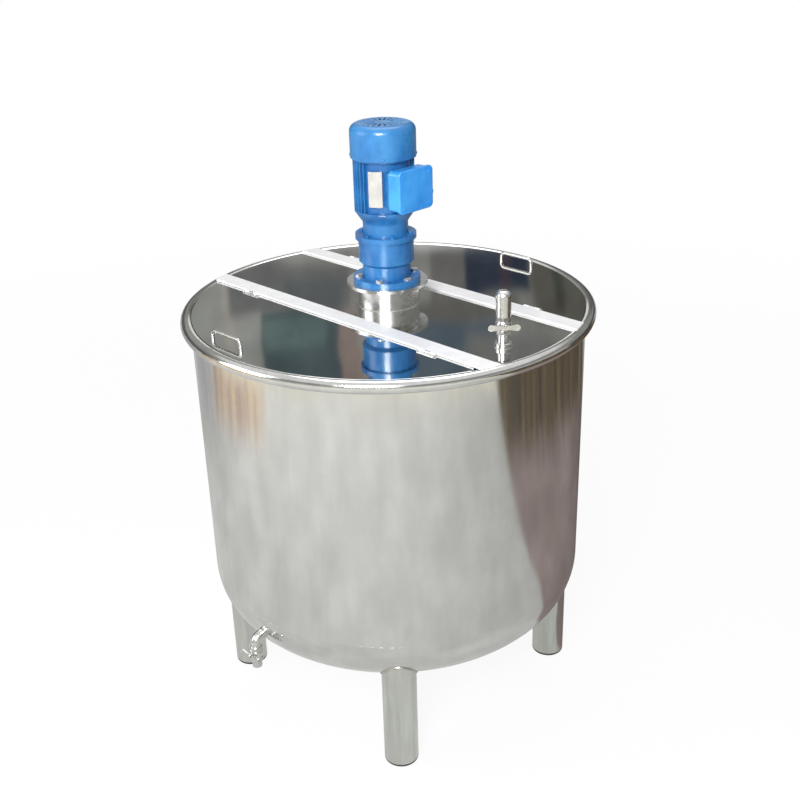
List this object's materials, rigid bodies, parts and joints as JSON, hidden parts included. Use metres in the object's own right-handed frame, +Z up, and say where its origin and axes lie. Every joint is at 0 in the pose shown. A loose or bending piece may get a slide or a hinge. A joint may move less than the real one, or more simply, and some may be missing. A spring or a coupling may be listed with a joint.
{
  "type": "mixing tank",
  "caption": "Upright dished-bottom mixing tank on tube legs with hinged half-moon lids and a geared electric mixer on a central bridge",
  "frame": {"origin": "on the tank axis at floor level, under the centre of the feet", "axes": "+Z up along the tank and shaft axis, +X along the bridge to the inlet fitting, -Y to the drain"},
  "size_m": [0.9999, 1.016, 1.477],
  "materials": {
    "tank_steel": "brushed",
    "lid_steel": "polished",
    "bar_steel": "satin",
    "blue_enamel": "gloss enamel",
    "shaft_steel": "machined",
    "seal_rubber": "moulded",
    "gear_iron": "as cast",
    "winding": "laminated and varnished",
    "plate_aluminium": "matt",
    "black_plastic": "moulded",
    "bolt_zinc": "zinc plated"
  },
  "bodies": {
    "vessel": {"back_rail": "bar_steel", "box_screws": "bolt_zinc", "bridge_plate": "lid_steel", "cable_gland": "black_plastic", "case_bolts": "bolt_zinc", "drain_elbow": "bar_steel", "drain_valve_body": "bar_steel", "fan_cover": "blue_enamel", "feet": "seal_rubber", "front_rail": "bar_steel", "gearbox_base": "blue_enamel", "gearbox_case": "blue_enamel", "hinge_pins": "bar_steel", "inlet_cap": "bar_steel", "inlet_nipple": "bar_steel", "inlet_riser": "bar_steel", "inlet_valve_body": "bar_steel", "layshaft_bearings": "shaft_steel", "leg_1": "tank_steel", "leg_2": "tank_steel", "leg_3": "tank_steel", "leg_4": "tank_steel", "lower_end_shield": "blue_enamel", "motor_adapter": "blue_enamel", "motor_bearings": "shaft_steel", "motor_frame": "blue_enamel", "motor_stand": "bar_steel", "mount_bolts": "bolt_zinc", "oil_seal": "seal_rubber", "output_bearings": "shaft_steel", "rail_hinge_leaves": "bar_steel", "rating_plate": "plate_aluminium", "rim_roll": "tank_steel", "stand_plate": "bar_steel", "stator_core": "winding", "tank_bottom": "tank_steel", "tank_wall": "tank_steel", "terminal_box": "blue_enamel", "terminal_lid": "blue_enamel", "upper_end_shield": "blue_enamel"},
    "agitator": {"output_shaft": "shaft_steel", "output_wheel": "gear_iron", "shaft_coupling": "shaft_steel", "agitator_shaft": "shaft_steel", "lower_impeller": "bar_steel", "upper_impeller": "bar_steel"},
    "layshaft_set": {"layshaft": "gear_iron"},
    "rotor": {"motor_shaft": "shaft_steel", "rotor_core": "gear_iron", "cooling_fan": "black_plastic"},
    "front_lid_set": {"front_lid": "lid_steel", "front_handle": "bar_steel", "front_lid_leaves": "bar_steel"},
    "back_lid_set": {"back_lid": "lid_steel", "back_handle": "bar_steel", "back_lid_leaves": "bar_steel"},
    "drain_turn": {"drain_ball": "shaft_steel", "drain_handle": "shaft_steel"},
    "inlet_turn": {"inlet_ball": "shaft_steel", "inlet_handle": "shaft_steel"}
  },
  "joints": [
    {"name": "agitator_spin", "type": "hinge", "parent": "vessel", "child": "agitator", "pos_m": [0, 0, 1], "axis": [0, 0, 1], "continuous": true},
    {"name": "layshaft_spin", "type": "hinge", "parent": "vessel", "child": "layshaft_set", "pos_m": [-0.03, 0, 1.178], "axis": [0, 0, 1], "continuous": true},
    {"name": "rotor_spin", "type": "hinge", "parent": "vessel", "child": "rotor", "pos_m": [0, 0, 1.32], "axis": [0, 0, 1], "continuous": true},
    {"name": "front_lid_hinge", "type": "hinge", "parent": "vessel", "child": "front_lid_set", "pos_m": [0, -0.1809, 1.0493], "axis": [-1, 0, 0], "range_deg": [0, 95]},
    {"name": "back_lid_hinge", "type": "hinge", "parent": "vessel", "child": "back_lid_set", "pos_m": [0, 0.1809, 1.0493], "axis": [1, 0, 0], "range_deg": [0, 95]},
    {"name": "drain_valve_turn", "type": "hinge", "parent": "vessel", "child": "drain_turn", "pos_m": [0, -0.49, 0.276], "axis": [0, -1, 0], "range_deg": [0, 90]},
    {"name": "inlet_valve_turn", "type": "hinge", "parent": "vessel", "child": "inlet_turn", "pos_m": [0.398, -0.045, 1.097], "axis": [0.7071, -0.7071, 0], "range_deg": [0, 90]}
  ],
  "couplings": [
    {"joint": "layshaft_spin", "follows": "agitator_spin", "ratio": -3.6154},
    {"joint": "rotor_spin", "follows": "agitator_spin", "ratio": 16.105}
  ]
}
